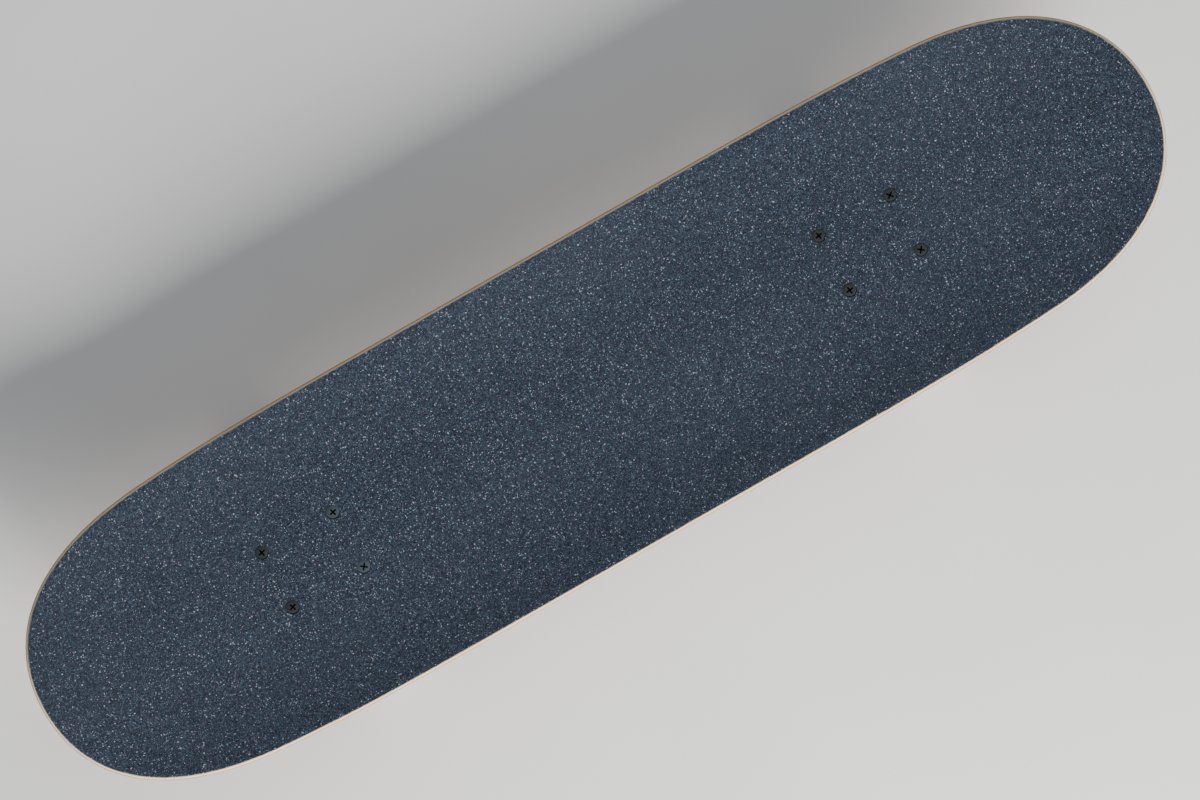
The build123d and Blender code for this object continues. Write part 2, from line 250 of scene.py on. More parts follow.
def soften(piece, sharp_angle):
    """Smooth shading with crisp edges where the faces turn by more than this angle."""
    piece.data.shade_smooth()
    piece.data.set_sharp_from_angle(angle=math.radians(sharp_angle))
    return piece


def close_up(piece):
    """Joins the points that lie together and turns all faces outwards."""
    body = bmesh.new()
    body.from_mesh(piece.data)
    bmesh.ops.remove_doubles(body, verts=body.verts, dist=1e-6)
    bmesh.ops.dissolve_degenerate(body, edges=body.edges, dist=1e-7)
    bmesh.ops.recalc_face_normals(body, faces=body.faces)
    body.to_mesh(piece.data)
    body.free()
    return piece


def drop(*pieces):
    for piece in pieces:
        bpy.data.objects.remove(piece)


def joined(name, pieces):
    """Several meshes as one piece."""
    body = bmesh.new()
    finishes = []
    for piece in pieces:
        first = len(body.faces)
        body.from_mesh(piece.data)
        body.faces.ensure_lookup_table()
        for face in body.faces[first:] if piece.data.materials else ():
            finish = piece.data.materials[face.material_index]
            if finish not in finishes:
                finishes.append(finish)
            face.material_index = finishes.index(finish)
    mesh = bpy.data.meshes.new(name)
    body.to_mesh(mesh)
    body.free()
    for finish in finishes:
        mesh.materials.append(finish)
    drop(*pieces)
    return new_piece(name, mesh)


def cut(piece, *cutters):
    """Takes the cutters' shapes out of a piece. The new faces keep a cutter's finish."""
    for cutter in cutters:
        modifier = piece.modifiers.new("cut", "BOOLEAN")
        modifier.operation = "DIFFERENCE"
        modifier.solver = "EXACT"
        modifier.material_mode = "TRANSFER"
        modifier.object = cutter
        settled(piece)


body_of = {node: body for body, nodes in frame["record"]["behaviour"]["bodies"].items() for node in nodes}


def fit(piece, node, ride=True):
    """The finished piece takes its node's place, on that node's body."""
    piece.name = piece.data.name = f"{node}_made"
    if ride:
        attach(piece, body_of[node])
    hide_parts(node)


def bezier(corners, steps=60):
    share = np.linspace(0, 1, steps)[:, None]
    a, b, c, d = (np.array(corner, float) for corner in corners)
    return a * (1 - share) ** 3 + 3 * share * (1 - share) * (b * (1 - share) + c * share) + d * share**3


side_y = deck_width / 2
tip_x = deck_length / 2 - 0.03
straight_x, shoulder_x = 110, 290


def long_side(ease, shoulder, pull_x, pull, tip_y):
    """The edge from the middle of a long side to a tip: straight, easing in to a shoulder, then round."""
    easing = [(straight_x, side_y), (200, side_y), (245, side_y - ease), (shoulder_x, side_y - shoulder)]
    rounding = [easing[-1], (pull_x, side_y - pull), (tip_x, tip_y), (tip_x, 0)]
    return np.vstack([[(0, side_y), (straight_x, side_y)], bezier(easing), bezier(rounding)])


def evenly(curve, count=105):
    """The same curve with this many equal steps."""
    run = np.concatenate([[0], np.cumsum(np.linalg.norm(np.diff(curve, axis=0), axis=1))])
    places = np.linspace(0, run[-1], count + 1)
    return np.column_stack([np.interp(places, run, curve[:, axis]) for axis in (0, 1)])


# One loop round the board, anticlockwise from the nose tip.
nose_side = evenly(long_side(0.7, 4.3, 353, 9.4, 63))
tail_side = evenly(long_side(0.5, 4.6, 350, 10.1, 66) * (-1, 1))
left_side = np.vstack([nose_side[::-1], tail_side[1:]])
outline = np.vstack([left_side, (left_side * (1, -1))[::-1][1:-1]])
along = np.roll(outline, -1, axis=0) - np.roll(outline, 1, axis=0)
inwards = np.column_stack([-along[:, 1], along[:, 0]]) / np.linalg.norm(along, axis=1)[:, None]
rim_row = 6.0
fan_x = tip_x - side_y
spine = np.column_stack([np.clip(outline[:, 0], -fan_x, fan_x), np.zeros(len(outline))])
face_shares = (0.87, 0.74, 0.61, 0.48, 0.38, 0.2984, 0.2, 0.1, 0.0)
far_inside = 90


def ring(inset, share):
    """The outline moved inwards. A share below 1 draws it in further, towards the board's spine."""
    edge = outline + inwards * inset
    return spine + (edge - spine) * share


def skin(count, pairs):
    """The faces between pairs of loops of this many points, by the numbers of their first points."""
    return [
        (low + step, low + (step + 1) % count, high + (step + 1) % count, high + step)
        for low, high in pairs
        for step in range(count)
    ]


def flat_layer(name, rows):
    """A closed flat layer, from rows of (inset, share, height): underneath, round the edge, on top."""
    count = len(outline)
    loops = [np.column_stack([ring(inset, share), np.full(count, height)]) for inset, share, height in rows]
    faces = skin(count, [(row * count, (row + 1) * count) for row in range(len(rows) - 1)])
    heights = np.repeat([height for _, _, height in rows], count)
    insets = np.repeat([inset + (1 - share) * far_inside for inset, share, _ in rows], count)
    return close_up(mesh_piece(name, np.vstack(loops), faces, height=heights, inset=insets))


def round_over(height):
    """How far the rounded edge of the board has drawn in at this height in the laminate."""
    missing = edge_round - min(height, deck_thickness - height, edge_round)
    return edge_round - math.sqrt(edge_round**2 - missing**2)


# The mould: it takes a flat layer and gives it the concave across and the kicks at both ends.
bends = ("Nose bend", "Nose angle", "Tail bend", "Tail angle")
mould = geometry_tree("deck mould", "Underside", "Flat half width", "Concave radius", "Bend radius", *bends)
x, y, height = mould.split(mould.add("GeometryNodeInputPosition"))
across = mould.math("MAXIMUM", abs(y) - mould.given["Flat half width"], 0)
hollow = mould.given["Concave radius"] - height
lift = mould.given["Concave radius"] - hollow * mould.math("COSINE", mould.math("ARCSINE", across / hollow))
bend_radius = mould.given["Bend radius"] - lift
level = mould.given["Underside"] + lift
for way, end in ((1, "Nose"), (-1, "Tail")):
    past = x * way - mould.given[f"{end} bend"]
    steepest = mould.math("SINE", mould.given[f"{end} angle"])
    rise = mould.math("MINIMUM", mould.math("MAXIMUM", past / bend_radius, 0), steepest)
    turn = mould.math("ARCSINE", rise)
    straight = mould.math("MAXIMUM", past - bend_radius * steepest, 0)
    level = level + bend_radius * (1 - mould.math("COSINE", turn)) + straight * mould.math("TANGENT", turn)
pressed = {"Geometry": mould.given["Geometry"], "Position": mould.join(x, y, level)}
finish_tree(mould, mould.add("GeometryNodeSetPosition", None, pressed))
bolts_to_bend = bolt_rows / 2 + 14
mould_values = {
    "Underside": deck_bottom * MM,
    "Flat half width": 29 * MM,
    "Concave radius": 310.4 * MM,
    "Bend radius": 190 * MM,
    "Nose bend": (front_truck_x + bolts_to_bend) * MM,
    "Nose angle": math.radians(21),
    "Tail bend": -(rear_truck_x - bolts_to_bend) * MM,
    "Tail angle": math.radians(20),
}


def maple(number, across_board, pale, dark):
    """Maple veneer. Its fibres run along the board or across it, so its edge shows side or end grain."""
    wood = Finish(f"maple_veneer_{number}")
    long_way = (1.0, 0.035, 1.0) if across_board else (0.035, 1.0, 1.0)
    fibre = wood.stretch(*long_way, moved=(number * 0.37, number * 0.21, number * 0.13))
    figure = wood.noise(70, fibre, 5, warp=0.6)
    streaks = wood.noise(420, fibre, 3)
    pores = wood.smooth(wood.noise(2400, fibre, 2), 0.62, 0.72)
    cloud = wood.noise(9, detail=2)
    colour = wood.blend(wood.smooth(figure + (streaks - 0.5) * 0.6, 0.3, 0.72), pale, dark)
    warm = (dark[0], dark[1] * 0.86, dark[2] * 0.7)
    colour = wood.blend(wood.smooth(cloud, 0.3, 0.75) * 0.3, colour, warm)
    colour = wood.blend(pores * 0.5, colour, [tone * 0.45 for tone in dark])
    # The glue lines, and the wood that the sander darkened, show only round the edge.
    level_in_ply = wood.attribute("height") / ply_thickness
    middle = abs(level_in_ply - wood.math("FLOOR", level_in_ply + 0.5))
    rim = wood.smooth(wood.attribute("inset"), 4.0, 2.6)
    colour = wood.blend(wood.smooth(middle, 0.07, 0.03) * rim * 0.85, colour, (0.12, 0.06, 0.025))
    # The shoulder is sanded pale. Below it, strongest at the top, the edge has painted shade in orange-brown.
    depth = deck_thickness - wood.attribute("height")
    sanded = wood.smooth(depth, 0.95, 0.5) * rim * (0.5 + wood.noise(600) * 0.3)
    colour = wood.blend(sanded, colour, (0.78, 0.64, 0.44))
    # Painted shade: a darker orange-brown band on the edge under the sanded shoulder.
    edge_shade = wood.smooth(depth, 0.7, 1.05) * (0.86 - wood.smooth(depth, 1.4, 2.2) * 0.64)
    colour = wood.blend(edge_shade * rim, colour, (0.37, 0.155, 0.05))
    lacquer = {"Coat_Weight": 0.25 - rim * 0.2, "Coat_Roughness": 0.22}
    rough = 0.36 + streaks * 0.16 + rim * 0.14 + pores * 0.1
    relief = wood.bump(streaks + pores * -1.0, 0.05, 0.5)
    return wood.shade(Base_Color=colour, Roughness=rough, Normal=relief, **lacquer)


def circle(radius, level, steps, centre=(0, 0)):
    """A loop of points round a centre."""
    x, y = centre
    angles = [math.tau * step / steps for step in range(steps)]
    return [(x + radius * math.cos(angle), y + radius * math.sin(angle), level) for angle in angles]


def solid(*loops, finish=None):
    """A closed solid through loops of points, with a flat face at each end."""
    count = len(loops[0])
    starts = [number * count for number in range(len(loops))]
    faces = skin(count, zip(starts, starts[1:]))
    faces += [tuple(reversed(range(count))), tuple(range(starts[-1], starts[-1] + count))]
    piece = mesh_piece("solid", [point for loop in loops for point in loop], faces)
    if finish:
        piece.data.materials.append(finish)
    return piece


# Each hole is drilled right through, and opens into a countersink for the bolt's head.
hole_radius = 2.6
sink_radius = 4.72
sink_foot = deck_thickness - sink_radius + hole_radius
overshoot = 8
wall_inset = 60
drill_steps = 40
drill_rows = [(hole_radius, -overshoot), (hole_radius, sink_foot)]
drill_rows += [(sink_radius, deck_thickness), (sink_radius, deck_thickness + overshoot)]
drill_loops = [[circle(*row, drill_steps, hole) for row in drill_rows] for hole in bolt_places]
drill_set = joined("drills", [solid(*loops) for loops in drill_loops])


def drill(piece):
    """Drills the eight holes. Their walls count as far from the rim and as the layer they are in."""

    def key(point):
        return tuple(round(part, 6) for part in point.co)

    known = {key(point) for point in piece.data.vertices}
    cut(piece, drill_set)
    carried = (piece.data.attributes[name].data for name in ("inset", "height"))
    for point, inset, height in zip(piece.data.vertices, *carried):
        if key(point) not in known:
            inset.value, height.value = wall_inset, point.co.z / MM


maple_tones = [
    ((0.60, 0.43, 0.25), (0.44, 0.28, 0.14)),
    ((0.56, 0.39, 0.22), (0.40, 0.25, 0.12)),
    ((0.47, 0.30, 0.155), (0.30, 0.17, 0.08)),
    ((0.58, 0.41, 0.23), (0.43, 0.27, 0.13)),
    ((0.49, 0.31, 0.16), (0.31, 0.18, 0.085)),
    ((0.57, 0.40, 0.22), (0.41, 0.26, 0.125)),
    ((0.66, 0.49, 0.30), (0.50, 0.33, 0.17)),
]
cross_plies = (3, 5)
for number, tones in enumerate(maple_tones, 1):
    low, high = (number - 1) * ply_thickness, number * ply_thickness
    wall = [(round_over(level), 1.0, level) for level in np.linspace(low, high, 5)]
    under = [(rim_row, share, low) for share in reversed((1.0, *face_shares))]
    over = [(rim_row, share, high) for share in (1.0, *face_shares)]
    ply = flat_layer(f"ply_{number}", under + wall + over)
    drill(ply)
    grow(mould, ply, {**mould_values, "Finish": maple(number, number in cross_plies, *tones)})
    fit(soften(ply, 50), f"deck_ply_{number}")

# ---------------- the grip tape
# A sheet of silicon-carbide grit on cloth-backed paper, glued over the whole top, cut round with a
# blade and filed down at the rim, which leaves its edge thin, pale and a little frayed.

grip_thickness = 0.8
grip_inset = 1.9
grip_bed = [(rim_row, 0), (3.0, 0), (grip_inset, -0.2)]
grip_edge = [(grip_inset, 0.05), (2.15, 0.42), (2.6, 0.68), (3.4, grip_thickness), (rim_row, grip_thickness)]
grip_rows = [(rim_row, share, deck_thickness) for share in reversed(face_shares)]
grip_rows += [(inset, 1.0, deck_thickness + rise) for inset, rise in grip_bed + grip_edge]
grip_rows += [(rim_row, share, deck_thickness + grip_thickness) for share in face_shares]


def grit():
    """Slate-blue grit. Every grain has its own shade and tilt, and a few carry a painted glint."""
    tape = Finish("grip_grit")
    shade, tint, glint = tape.split(tape.grains(2500))
    coarse = tape.grains(1500, tape.stretch(1, 1, 1, moved=(0.31, 0.17, 0.05)))
    coarse_shade, coarse_tint, coarse_glint = tape.split(coarse)
    worn = tape.smooth(tape.noise(7), 0.35, 0.7)
    colour = tape.blend(tint, (0.0025, 0.008, 0.015), (0.010, 0.009, 0.014))
    lit_tone = tape.blend(coarse_tint, (0.053, 0.111, 0.146), (0.100, 0.098, 0.153))
    colour = tape.blend(shade**3.4 * 0.57 + coarse_shade**4 * 0.43, colour, lit_tone)
    colour = tape.blend(worn * 0.08, colour, (0.05, 0.062, 0.074))
    # A few grains are painted bright as painted glints, and are made a little smoother.
    painted_glints = (coarse_glint > 0.988) * 0.55 + (glint > 0.985) * 0.5
    colour = tape.blend(painted_glints, colour, tape.blend(coarse_tint, (0.26, 0.46, 0.50), (0.52, 0.40, 0.47)))
    frayed = tape.attribute("inset") + (tape.noise(260, detail=2) - 0.5) * 0.9
    colour = tape.blend(tape.smooth(frayed, 2.75, 2.15) * 0.9, colour, (0.27, 0.262, 0.22))
    relief = tape.bump(1 - tape.grains(2500, out="Distance") + shade * 0.8, 0.16, 0.6)
    rough = 0.66 - painted_glints * 0.2 + tint * 0.2
    return tape.shade(Base_Color=colour, Roughness=rough, Normal=relief, Specular_IOR_Level=0.1)


grip = flat_layer("grip", grip_rows)
drill(grip)
grow(mould, grip, {**mould_values, "Finish": grit()})
fit(soften(grip, 50), "grip_tape")
drop(drill_set)

# ---------------- trucks: the places they are made for
# A truck is made lying on its back, as on a bench: X points to the middle of the board and Z is the
# distance below the deck. Then it is turned over, one way for the front and the other for the rear.


def shift(x, y, z):
    return Matrix.Translation(Vector((x, y, z)) * MM)


def spin(angle, axis):
    return Matrix.Rotation(angle, 4, axis)


def stand(line, foot):
    """Turns a piece made upright, on Z, to stand on this foot along this line."""
    return shift(*foot) @ Vector(line).to_track_quat("Z", "Y").to_matrix().to_4x4()


def placed(piece, *moves):
    for move in moves:
        piece.data.transform(move)
    return piece


def copied(piece, place):
    return placed(new_piece(piece.name, piece.data.copy()), place)


quarter = math.pi / 2
kingpin_lean = math.radians(27)
kingpin_foot = Vector((-1, 0, 0))
kingpin_line = Vector((math.sin(kingpin_lean), 0, math.cos(kingpin_lean)))
on_kingpin = stand(kingpin_line, kingpin_foot)
pivot_lean = math.radians(55)
pivot_point = Vector((-24, 0, 12.5))
pivot_line = Vector((math.cos(pivot_lean), 0, math.sin(pivot_lean)))
on_pivot = stand(pivot_line, pivot_point)
truck_places = {
    "front": shift(front_truck_x, 0, deck_bottom) @ spin(math.pi, "Y"),
    "rear": shift(rear_truck_x, 0, deck_bottom) @ spin(math.pi, "X"),
}


def both_trucks(piece, node, **fitting):
    """Puts one copy of a bench-made piece on each truck."""
    copies = {end: copied(piece, place) for end, place in truck_places.items()}
    for end, copy in copies.items():
        fit(copy, f"{end}_{node}", **fitting)
    drop(piece)
    return copies


def softened(profile, radius):
    """The same closed outline with its corners rounded, apart from those on the axis."""
    made = []
    for before, corner, after in zip(profile[-1:] + profile[:-1], profile, profile[1:] + profile[:1]):
        if corner[0] == 0:
            made.append(corner)
            continue
        corner, before, after = (np.array(point, float) for point in (corner, before, after))
        back, on = before - corner, after - corner
        size = min(radius, 0.3 * np.linalg.norm(back), 0.3 * np.linalg.norm(on))
        first, last = (corner + way / np.linalg.norm(way) * size for way in (back, on))
        hold_first, hold_last = (corner + way / np.linalg.norm(way) * size * 1.5 for way in (back, on))
        made += [hold_first, first, first * 0.25 + corner * 0.5 + last * 0.25, last, hold_last]
    return [tuple(point) for point in made]


def swept(name, rows, steps, reach=None):
    """The skin of a closed outline of (radius, height) rows turned about Z, kept inside a reach."""
    angles = [math.tau * step / steps for step in range(steps)]
    reach = reach or [math.inf] * steps
    points = [
        (min(radius, far) * math.cos(angle), min(radius, far) * math.sin(angle), level)
        for radius, level in rows
        for angle, far in zip(angles, reach)
    ]
    pairs = [(row, (row + 1) % len(rows)) for row in range(len(rows))]
    pairs = [(low, high) for low, high in pairs if rows[low][0] or rows[high][0]]
    return mesh_piece(name, points, skin(steps, [(low * steps, high * steps) for low, high in pairs])), pairs


def turned(name, profile, finish, radius, steps):
    """A piece turned on a lathe about Z, from a closed outline of (radius, height) points."""
    rows = softened(profile, radius) if radius else profile
    run = [0.0]
    for (r0, z0), (r1, z1) in zip(rows, rows[1:] + rows[:1]):
        run.append(run[-1] + math.hypot(r1 - r0, z1 - z0))
    piece, pairs = swept(name, rows, steps)
    corners = [
        ((step + ahead) / steps, run[row + on])
        for row, _ in pairs
        for step in range(steps)
        for ahead, on in ((0, 0), (1, 0), (1, 1), (0, 1))
    ]
    layer = piece.data.uv_layers.new(name="turning")
    layer.data.foreach_set("uv", np.array(corners, np.float32).ravel())
    piece.data.materials.append(finish)
    return soften(close_up(piece), 42)


# ---------------- truck castings
# Baseplate and hanger are cast in aluminium from a permanent mould, tumbled in stone to a soft satin,
# and machined only where something seats: the kingpin ring, the axle hole and the end faces.


def cast_aluminium():
    metal = Finish("cast_aluminium")
    skin_grain = metal.noise(900, detail=4)
    flow = metal.noise(60, warp=0.4)
    pits = metal.smooth(metal.grains(600, out="Distance"), 0.12, 0.04)
    colour = metal.blend(metal.smooth(flow, 0.3, 0.7), (0.56, 0.57, 0.585), (0.68, 0.69, 0.70))
    colour = metal.blend(pits * 0.3, colour, (0.30, 0.30, 0.305))
    relief = metal.bump(skin_grain - pits * 0.6, 0.14, 0.5)
    rough = 0.36 + skin_grain * 0.14 + flow * 0.08 + pits * 0.2
    return metal.shade(Base_Color=colour, Metallic=1.0, Roughness=rough, Normal=relief)


def machined_aluminium():
    metal = Finish("machined_aluminium")
    lines = metal.noise(2600, metal.stretch(1, 0.05, 1), 2)
    colour = metal.blend(lines, (0.72, 0.73, 0.74), (0.84, 0.85, 0.86))
    relief = metal.bump(lines, 0.03, 0.4)
    return metal.shade(Base_Color=colour, Metallic=1.0, Roughness=0.2 + lines * 0.16, Normal=relief)


casting = cast_aluminium()
machining = machined_aluminium()
voxel = 0.6


def rod(r_low, r_high, low, high, line=(0, 0, 1), foot=(0, 0, 0), finish=None, steps=64):
    """A solid round bar or cone along a line, from low to high."""
    bar = solid(circle(r_low, low, steps), circle(r_high, high, steps), finish=finish)
    return placed(bar, stand(line, foot))


def bore(radius, low, high, line=kingpin_line, foot=kingpin_foot, steps=64):
    """A round cutter that leaves a machined face."""
    return rod(radius, radius, low, high, line, foot, machining, steps)


def slab(low, high, corners, top_corners=None, finish=None):
    """A solid between two outlines of (x, y) corners at two heights."""
    foot = [(x, y, low) for x, y in corners]
    top = [(x, y, high) for x, y in top_corners or corners]
    return solid(foot, top, finish=finish)


def rib(half, corners, turn=0):
    """A casting's rib, upright, turned about Z by an angle in degrees."""
    return placed(slab(-half, half, corners), spin(quarter, "X"), spin(math.radians(turn), "Z"))


def cast(name, solids, rounds):
    """Melts overlapping solids into one casting and softens its inside and outside corners."""
    piece = joined(name, solids)
    melt = piece.modifiers.new("melt", "REMESH")
    melt.mode = "VOXEL"
    melt.voxel_size = voxel * MM
    settle = piece.modifiers.new("settle", "SMOOTH")
    settle.factor = 0.5
    settle.iterations = rounds
    settled(piece)
    piece.data.materials.append(casting)
    return piece


def machine(piece, cutters, node):
    """Cuts a casting where something seats on it, and puts it on both trucks."""
    cut(piece, *cutters)
    drop(*cutters)
    both_trucks(soften(piece, 40), node)


def rounded_box(length, width, radius, steps=10):
    """The corners of a rectangle with round corners, anticlockwise."""
    corners = []
    for turn, (way_x, way_y) in enumerate(((1, 1), (-1, 1), (-1, -1), (1, -1))):
        middle_x, middle_y = way_x * (length / 2 - radius), way_y * (width / 2 - radius)
        for step in range(steps + 1):
            angle = quarter * (turn + step / steps)
            corners.append((middle_x + radius * math.cos(angle), middle_y + radius * math.sin(angle)))
    return corners


base_length, base_width, base_thickness, base_draft = 78.0, 56.0, 6.0, 1.2
seat_end = 16.5
seat_radius = 14.6
kingpin_radius = 4.76
head_flats = 14.3
head_pocket_flats = head_flats * 1.015
head_end = 10.3
foot_corners = rounded_box(base_length, base_width, 10)
edge_corners = rounded_box(base_length - base_draft, base_width - base_draft, 9.4)
baseplate_solids = [
    slab(0.1, base_thickness + 0.3, foot_corners, edge_corners),
    rod(17.5, 15.2, 2, seat_end + 0.4, kingpin_line, kingpin_foot),
    rod(13.6, 11.9, -11, 5.2, pivot_line, pivot_point),
    rib(4.6, [(-30, 1), (12, 1), (6, 11.6), (-14, 12.2), (-22, 11)]),
    rib(3, [(12, 2), (34, 2), (33, 7), (20, 12)]),
    *[rib(2.3, [(-2, 2), (24, 2), (24, 6.8), (12, 11.5)], turn) for turn in (62, -62)],
]
hex_reach = head_pocket_flats / 2 / math.cos(math.pi / 6)
hex_corners = [(x, y) for x, y, _ in circle(hex_reach, 0, 6)]
bolt_spots = [(x * bolt_rows / 2, y * bolt_columns / 2, 0) for x in (-1, 1) for y in (-1, 1)]
baseplate_cutters = [
    slab(-30, 0.12, rounded_box(200, 200, 5)),
    placed(slab(-9, head_end, hex_corners), on_kingpin),
    bore(kingpin_radius + 0.05, 5, 20),
    bore(seat_radius, seat_end, seat_end + 6),
    bore(9.23, -7.03, 14, pivot_line, pivot_point),
    *[bore(2.62, -3, 14, (0, 0, 1), spot, 32) for spot in bolt_spots],
]
machine(cast("baseplate", baseplate_solids, 8), baseplate_cutters, "baseplate")

axle_spot = Vector((-4, 0, 53))
ring_start, ring_end, ring_radius = 29.5, 38.5, 18.0
ring_seat_radius = 12.2
half_hanger = 68.0
along_axle = Vector((0, 1, 0))
ring_centre = kingpin_foot + kingpin_line * (ring_start + ring_end) / 2
web_length = (ring_centre - axle_spot).length
web_line = (ring_centre - axle_spot).normalized()
web_turn = Matrix((along_axle, web_line, along_axle.cross(web_line))).transposed().to_4x4()
web_foot, web_top = 7.4, 5.0
web_corners = [(-52, 0), (52, 0), (36, 9), (19, web_length - 6), (-19, web_length - 6), (-36, 9)]
web_sides = [
    [(out, up, side * (web_foot + (web_top - web_foot) * up / web_length)) for out, up in web_corners]
    for side in (-1, 1)
]
half_bar = [(14, 11.9), (34, 10.2), (53, 8.6), (68.6, 8.5)]
bar_rows = [(-out, radius) for out, radius in reversed(half_bar)] + half_bar
bar_lengths = [(r0, r1, y0, y1) for (y0, r0), (y1, r1) in zip(bar_rows, bar_rows[1:])]
ball_mesh = bpy.data.meshes.new("ball")
ball_body = bmesh.new()
ball_size = {"u_segments": 32, "v_segments": 20, "radius": 5.8 * MM}
bmesh.ops.create_uvsphere(ball_body, matrix=shift(*pivot_point), **ball_size)
ball_body.to_mesh(ball_mesh)
ball_body.free()
hanger_solids = [
    *[rod(*sizes, along_axle, axle_spot, steps=72) for sizes in bar_lengths],
    placed(close_up(solid(*web_sides)), shift(*axle_spot) @ web_turn),
    rod(ring_radius + 0.3, ring_radius + 0.3, ring_start - 0.4, ring_end + 0.4, kingpin_line, kingpin_foot),
    rod(6.1, 9.4, 0, 42, pivot_line, pivot_point),
    new_piece("ball", ball_mesh),
]
hanger_cutters = [
    bore(13.0, seat_end - 2, ring_start + 0.6),
    bore(13.0, ring_end - 0.6, ring_end + 26),
    bore(ring_seat_radius, ring_start - 1, 32),
    bore(ring_seat_radius, 36, ring_end + 1),
    bore(8.6, 28, 40),
    bore(4.0, -80, 80, along_axle, axle_spot, 48),
    bore(14, half_hanger, half_hanger + 4, along_axle, axle_spot),
    bore(14, -half_hanger - 4, -half_hanger, along_axle, axle_spot),
]
machine(cast("hanger", hanger_solids, 10), hanger_cutters, "hanger")

# ---------------- pivot cups
# A black urethane cup, moulded round a ball-shaped seat and pressed into the baseplate's pivot boss.
# The hanger's ball end turns in it, and the soft cup takes up the wear.


def black_rubber(name):
    rubber = Finish(name)
    mottle = rubber.noise(500)
    colour = rubber.blend(mottle, (0.014, 0.014, 0.015), (0.03, 0.03, 0.031))
    relief = rubber.bump(mottle, 0.05, 0.4)
    return rubber.shade(Base_Color=colour, Roughness=0.5 + mottle * 0.2, Normal=relief)


def arc(radius, turns):
    """Points of a circle at these angles in degrees."""
    return [(radius * math.cos(math.radians(turn)), radius * math.sin(math.radians(turn))) for turn in turns]


cup_bowl = [(side, -down) for down, side in arc(5.65, range(0, 91, 10))]
cup_profile = [(0, -7), (9.2, -7), (9.2, 5.6), (8.9, 6), (8.2, 6), (7.9, 5.6), *reversed(cup_bowl)]
both_trucks(placed(turned("cup", cup_profile, black_rubber("black_urethane"), 0, 56), on_pivot), "pivot_cup")

# ---------------- kingpins and their nuts
# A forged hex bolt, zinc plated, driven into the baseplate from the deck's side. A nylon lock nut at
# its threaded end squeezes both bushings; the nylon ring stops it from working loose.


def zinc_plate():
    metal = Finish("zinc_plate")
    spangle, tint, _ = metal.split(metal.grains(900))
    haze = metal.noise(240, detail=4)
    scratches = metal.smooth(metal.noise(2600, metal.stretch(1, 0.08, 0.6), 2), 0.6, 0.7)
    colour = metal.blend(haze, (0.50, 0.515, 0.54), (0.66, 0.665, 0.67))
    colour = metal.blend(tint * 0.25, colour, (0.62, 0.60, 0.50))
    rough = 0.24 + haze * 0.16 + spangle * 0.08 + scratches * 0.15
    relief = metal.bump(scratches + haze, 0.02, 0.4)
    return metal.shade(Base_Color=colour, Metallic=1.0, Roughness=rough, Normal=relief)


def nylon(name, pale, dark):
    plastic = Finish(name)
    mottle = plastic.noise(700)
    colour = plastic.blend(mottle, pale, dark)
    relief = plastic.bump(mottle, 0.03, 0.3)
    return plastic.shade(Base_Color=colour, Roughness=0.42 + mottle * 0.15, Normal=relief)


thread_tree = geometry_tree("thread", "Radius", "Pitch", "Turns")
ridge_size = thread_tree.given["Pitch"] * 0.5
ridge_radius = thread_tree.given["Radius"] - ridge_size
ridge_sizes = {
    "Resolution": 28,
    "Rotations": thread_tree.given["Turns"],
    "Start Radius": ridge_radius,
    "End Radius": ridge_radius,
    "Height": thread_tree.given["Turns"] * thread_tree.given["Pitch"],
}
spiral = thread_tree.add("GeometryNodeCurveSpiral", None, ridge_sizes)
level_spiral = thread_tree.add("GeometryNodeSetCurveNormal", {"mode": "Z_UP"}, {"Curve": spiral})
vee = thread_tree.add("GeometryNodeCurvePrimitiveCircle", None, {"Resolution": 4, "Radius": ridge_size})
ridge_parts = {"Curve": level_spiral, "Profile Curve": vee, "Fill Caps": True}
finish_tree(thread_tree, thread_tree.add("GeometryNodeCurveToMesh", None, ridge_parts))


def thread(radius, pitch, start, end, finish):
    """The ridge of a screw thread round Z, from one height to another."""
    values = {"Finish": finish, "Radius": radius * MM, "Pitch": pitch * MM, "Turns": (end - start) / pitch}
    ridge = grow(thread_tree, mesh_piece("ridge", [], []), values)
    return placed(close_up(ridge), shift(0, 0, start))


def core(radius, pitch):
    """A threaded end's radius at the foot of its thread."""
    return radius - pitch * 0.42


def hex_bar(flats, rows, finish, steps=72):
    """A solid from rows of (largest radius, height), kept inside a hexagon."""
    sixth = math.pi / 3
    angles = [math.tau * step / steps for step in range(steps)]
    reach = [flats / 2 / math.cos((angle + sixth / 2) % sixth - sixth / 2) for angle in angles]
    piece = close_up(swept("hex", rows, steps, reach)[0])
    piece.data.materials.append(finish)
    return soften(piece, 28)


def hex_rows(flats, low, high):
    """The outside of a hexagon with both ends turned to a chamfer."""
    chamfer = [(flats * (0.475 + 0.022 * step), flats * 0.0125 * step) for step in range(6)]
    foot = [(limit, low + rise) for limit, rise in chamfer]
    return foot + [(limit, high - rise) for limit, rise in reversed(chamfer)]


def lock_nut(flats, height, bore, finish, insert):
    """A nut and its nylon ring, standing on Z = 0, as two pieces."""
    hex_height = 0.68 * height
    nylon_foot, nylon_radius = hex_height * 0.9, 0.36 * flats
    nylon_top = height - 0.05 * flats
    collar = [
        (0.455 * flats, hex_height + 0.02 * flats),
        (0.455 * flats, height - 0.07 * flats),
        (0.44 * flats, height - 0.025 * flats),
        (0.41 * flats, height),
        (0.375 * flats, height),
        (nylon_radius, height - 0.02 * flats),
        (nylon_radius, nylon_foot),
        (bore, nylon_foot),
        (bore, 0.03 * flats),
        (bore + 0.03 * flats, 0),
    ]
    ring_rows = [(bore, nylon_foot), (nylon_radius, nylon_foot), (nylon_radius, nylon_top), (bore, nylon_top)]
    nut = hex_bar(flats, hex_rows(flats, 0, hex_height) + collar, finish)
    return nut, turned("nylon", ring_rows, insert, 0.2, 48)


